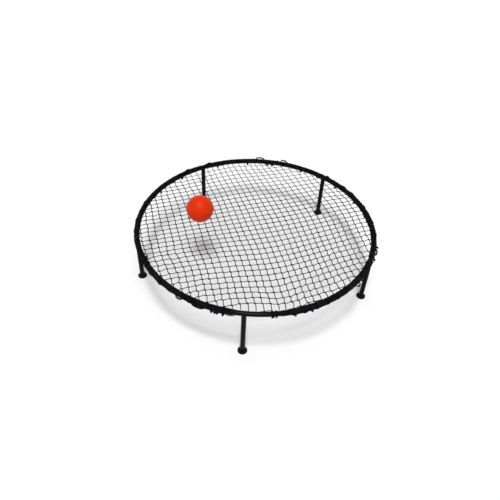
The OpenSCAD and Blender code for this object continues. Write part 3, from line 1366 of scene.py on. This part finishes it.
@dataclass
class SlackLoops:
    """Loops and loose mesh corners that stand off the gathered edge.

    A loop leaves the netting at one foot and comes back at the other. Its stand-off is sin t, and its place
    along the tube is -cos t times half its width, so it is the curve of half an ellipse. A corner is two
    cords that meet in a knot: its stand-off is 1 - |v|^sharpness, v running from -1 to 1 across its width.

    Attributes:
        ring: The ring.
        lift: How far their feet stand off the tube.
        loop_r: Radius of one of the two strands of a loop, which lie together.
        loop_steps: Points of a loop.
        loop_lean: How far a loop may lean round the tube, in radians.
        corner_r: Radius of a corner's cord.
        corner_steps: Points of a corner.
        sharpness: How pointed the corners are.
        knot_size: Half length and half width of a corner's knot.
        knot_lengths: Shortest and longest of them, as shares.
        knot_widths: Slimmest and thickest of them, as shares.
        knot_lean: Spread of their lean to the side, for each unit that they point outward.
        seed: Seed of the leans and of the knots' sizes.
        rng: Source of them.
        base: Distance of the feet from the tube's centreline.
    """

    ring: Ring
    lift: float = 1.6 * MM
    loop_r: float = 1.55 * MM
    loop_steps: int = 30
    loop_lean: float = 0.06
    corner_r: float = 1.5 * MM
    corner_steps: int = 17
    sharpness: float = 1.3
    knot_size: tuple[float, float] = (5.4 * MM, 4.0 * MM)
    knot_lengths: tuple[float, float] = (0.9, 1.15)
    knot_widths: tuple[float, float] = (0.9, 1.1)
    knot_lean: float = 0.3
    seed: int = 5
    rng: np.random.Generator = field(init=False)
    base: float = field(init=False)

    def __post_init__(self) -> None:
        """Seed the leans, and find where the feet stand."""
        self.rng = np.random.default_rng(self.seed)
        self.base = self.ring.skin + self.lift

    def build_loops(self) -> bpy.types.Object:
        """Build the loops, each of two strands.

        Returns:
            The piece.
        """
        direction, turn, width, stand = (np.repeat(column, 2, axis=0) for column in columns(SLACK_LOOPS))
        strand = np.tile([-self.loop_r, self.loop_r], len(SLACK_LOOPS))[:, None]
        t = np.linspace(0.0, np.pi, self.loop_steps)
        place = direction - 0.5 * width * np.cos(t) / self.ring.centre_r
        lean = turn + self.rng.uniform(-self.loop_lean, self.loop_lean, turn.shape) * np.sin(t)
        points, out = self.ring.around(place, lean, self.base + (stand + strand) * np.sin(t))
        return cord_piece("slack_loops", points, out, self.loop_r, sides=8)

    def build_corners(self) -> list[bpy.types.Object]:
        """Build the corners and their knots.

        Returns:
            The two pieces.
        """
        direction, turn, width, stand = columns(MESH_CORNERS)
        v = np.linspace(-1.0, 1.0, self.corner_steps)
        place = direction + 0.5 * width * v / self.ring.centre_r
        reach = self.base + stand * (1.0 - np.abs(v) ** self.sharpness)
        points, out = self.ring.around(place, turn, reach)
        corners = cord_piece("mesh_corners", points, out, self.corner_r)
        tips, out = self.ring.around(direction[:, 0], turn[:, 0], self.base + stand[:, 0])
        along = out + self.knot_lean * self.rng.normal(size=out.shape)
        lengths = self.knot_size[0] * self.rng.uniform(*self.knot_lengths, len(tips))
        widths = self.knot_size[1] * self.rng.uniform(*self.knot_widths, len(tips))
        up = along_ring(direction[:, 0], 0.0)
        return [corners, knot_piece("corner_knots", tips, along, up, lengths, widths, grid=(9, 12))]

    def build(self) -> list[bpy.types.Object]:
        """Build the loops and then the corners."""
        return [self.build_loops(), *self.build_corners()]


@dataclass
class InnerBorder:
    """The strand that gathers the mesh's edge along the inner side of the bare tube.

    Attributes:
        ring: The ring.
        radius: Radius of the strand.
        lift: How far it stands off the tube.
        lie: Turn round the tube where it lies, in degrees.
        lie_waver: Waver of that, in radians.
        overlap: How far it runs on past the bare tube's ends, in degrees.
        rings: Rings of the strand's mesh.
        seed: Seed of its waver.
    """

    ring: Ring
    radius: float = 1.3 * MM
    lift: float = 0.2 * MM
    lie: float = -98.0
    lie_waver: Waver = Waver(0.05, 45 * MM)
    overlap: float = 1.0
    rings: int = 120
    seed: int = 3

    def build(self) -> list[bpy.types.Object]:
        """Build the strand.

        Returns:
            The one piece.
        """
        rng = np.random.default_rng(self.seed)
        first, last = self.ring.bare
        direction = np.radians(np.linspace(first - self.overlap, last + self.overlap, self.rings))
        s = (direction - direction[0]) * self.ring.centre_r
        turn = math.radians(self.lie) + self.lie_waver.along(s, rng)
        points, out = self.ring.around(direction, turn, self.ring.skin + self.radius + self.lift)
        return [cord_piece("inner_border", points[None], out[None], self.radius, sides=8)]


# ---------------------------------------------------------------------------------------------------
# Camera, light and floor
# ---------------------------------------------------------------------------------------------------

LAMP_DISTANCE = 3.0
SENSOR_MM = 36.0
FLOOR_HALF = 12.0
FLOOR_WHITE = 0.99


@dataclass(frozen=True)
class Lamp:
    """A soft lamp so far away that its light is even.

    Attributes:
        name: Its name.
        tilt: Tilt from straight above, in degrees.
        azimuth: Where it tilts to, in degrees to the right of the front.
        share: How bright a white floor is under this lamp alone.
        width: Its width as seen from the set, in degrees.
    """

    name: str
    tilt: float
    azimuth: float
    share: float
    width: float

    def build(self) -> None:
        """Add the lamp. Its strength gives a white floor its share of full white."""
        tilt, azimuth = math.radians(self.tilt), math.radians(self.azimuth)
        x, y = math.sin(tilt) * math.sin(azimuth), -math.sin(tilt) * math.cos(azimuth)
        towards = Vector((x, y, math.cos(tilt)))
        data = bpy.data.lights.new(self.name, "SUN")
        data.energy = self.share * math.pi / math.cos(tilt)
        data.angle = math.radians(self.width)
        lamp = bpy.data.objects.new(self.name, data)
        lamp.location = towards * LAMP_DISTANCE
        lamp.rotation_mode = "QUATERNION"
        lamp.rotation_quaternion = towards.to_track_quat("Z", "Y")
        bpy.context.scene.collection.objects.link(lamp)


@dataclass
class Studio:
    """A white floor and surroundings, soft lamps above and in front, and the main camera.

    Attributes:
        azimuth: Direction of the camera from the front, in degrees.
        elevation: Its height above the horizon, in degrees.
        distance: Its distance from the target.
        target: The floor point that it looks at.
        roll: Its turn about its own axis, in degrees.
        focal_px: Focal length in pixels of a 500 pixel frame.
        frame_px: Width of that frame.
        sky: How bright a white floor is under the surroundings alone.
        lamps: The lamps. With the sky they light a white floor to a little over 1.
    """

    azimuth: float = 3.332
    elevation: float = 42.312
    distance: float = 2.1116
    target: tuple[float, float, float] = (-0.0217, 0.0688, -0.0025)
    roll: float = 2.965
    focal_px: float = 502.38
    frame_px: float = 500.0
    sky: float = 0.345
    lamps: tuple[Lamp, ...] = (
        Lamp("overhead_softbox", 11.5, -8.0, 0.26, 11.0),
        Lamp("front_softbox", 21.5, 6.0, 0.28, 18.0),
        Lamp("low_front_softbox", 50.0, 5.0, 0.13, 20.0),
        Lamp("side_spot", 22.0, 40.0, 0.04, 4.0),
    )

    def add_camera(self) -> None:
        """Add the camera: it looks down its back direction, then rolls about it."""
        a, e, roll = (math.radians(x) for x in (self.azimuth, self.elevation, self.roll))
        back = Vector((math.sin(a) * math.cos(e), -math.cos(a) * math.cos(e), math.sin(e)))
        level = (-back).cross(Vector((0.0, 0.0, 1.0))).normalized()
        upright = level.cross(-back)
        right = math.cos(roll) * level + math.sin(roll) * upright
        up = -math.sin(roll) * level + math.cos(roll) * upright
        data = bpy.data.cameras.new("camera")
        data.sensor_fit = "HORIZONTAL"
        data.sensor_width = SENSOR_MM
        data.lens = self.focal_px * SENSOR_MM / self.frame_px
        camera = bpy.data.objects.new("camera", data)
        turn = Matrix((right, up, back)).transposed().to_4x4()
        camera.matrix_world = Matrix.Translation(Vector(self.target) + back * self.distance) @ turn
        bpy.context.scene.collection.objects.link(camera)
        bpy.context.scene.camera = camera

    def add_surroundings(self) -> None:
        """Light the set evenly from all round, and look white to the camera and in gloss and glass."""
        world = bpy.data.worlds.new("studio")
        world.use_nodes = True
        bpy.context.scene.world = world
        tree = world.node_tree
        background = tree.nodes["Background"]
        background.inputs["Color"].default_value = (1.0, 1.0, 1.0, 1.0)
        path = add_node(tree, "ShaderNodeLightPath", {}, {})
        seen = path.outputs["Is Camera Ray"]
        for name in ("Is Glossy Ray", "Is Transmission Ray"):
            pair = {0: seen, 1: path.outputs[name]}
            seen = add_node(tree, "ShaderNodeMath", {"operation": "ADD", "use_clamp": True}, pair).outputs[0]
        span = {"in:To Min": self.sky, "in:To Max": 1.0}
        level = add_node(tree, "ShaderNodeMapRange", span, {"Value": seen})
        tree.links.new(level.outputs["Result"], background.inputs["Strength"])

    def add_floor(self) -> None:
        """Add a white floor large enough to fill every view."""
        corners = FLOOR_HALF * np.array([[-1, -1, 0], [1, -1, 0], [1, 1, 0], [-1, 1, 0]])
        floor = new_object("floor", corners, [[0, 1, 2, 3]], None)
        material = bpy.data.materials.new("white_studio_floor")
        material.use_nodes = True
        shader = material.node_tree.nodes["Principled BSDF"]
        shader.inputs["Base Color"].default_value = (FLOOR_WHITE, FLOOR_WHITE, FLOOR_WHITE, 1.0)
        shader.inputs["Roughness"].default_value = 1.0
        shader.inputs["Specular IOR Level"].default_value = 0.0
        floor.data.materials.append(material)

    def build(self) -> None:
        """Add everything and keep plain colours."""
        self.add_camera()
        for lamp in self.lamps:
            lamp.build()
        self.add_surroundings()
        self.add_floor()
        bpy.context.scene.view_settings.view_transform = "Standard"


# ---------------------------------------------------------------------------------------------------
# The whole set
# ---------------------------------------------------------------------------------------------------


def dress(piece: bpy.types.Object, material: bpy.types.Material, node: str) -> None:
    """Give a new cord piece its material, body and slot, and hide the frame's node that it stands for.

    Args:
        piece: The piece.
        material: Its finish.
        node: Node that it replaces.
    """
    piece.data.materials.append(material)
    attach(piece, FRAME_BODY)
    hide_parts(node)
    log.info("%s: %d faces", piece.name, len(piece.data.polygons))


def finish_frame_nodes(materials: dict[str, bpy.types.Material]) -> None:
    """Give the frame's own solids their finishes.

    Args:
        materials: A material for each start of a node's name.
    """
    for name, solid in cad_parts.items():
        for start, material in materials.items():
            if name.startswith(start):
                solid.data.materials.clear()
                solid.data.materials.append(material)
                log.info("%s: %s", name, material.name)


def main() -> None:
    """Build the set and its studio."""
    logging.basicConfig(level=logging.INFO)
    tube = ENAMELLED_TUBE.material()
    rubber = MOULDED_RUBBER.material()
    cord = POLYESTER_CORD.material()
    # the bunched cord's grey flecks are painted highlights
    bunched = BUNCHED_CORD_PAINTED_GLINTS.material()
    vinyl = SOFT_VINYL.material()
    finish_frame_nodes(
        {
            "tee_": tube,
            "rim_tube_": tube,
            "leg_": tube,
            "foot_": rubber,
            "ball_shell": vinyl,
            "ball_valve": rubber,
        }
    )
    Studio().build()

    ring = Ring()
    for assembly, material, node in (
        (Netting(ring), cord, "net"),
        *((GatheredEdge(ring, bay), bunched, bay.node) for bay in Bay),
        (EdgeCord(ring), cord, "edge_cord"),
        (Lashings(ring), cord, "net_lashings"),
        (SlackLoops(ring), cord, "net_loops"),
        (InnerBorder(ring), cord, "net"),
    ):
        for piece in assembly.build():
            dress(piece, material, node)


if __name__ == "__main__":
    main()
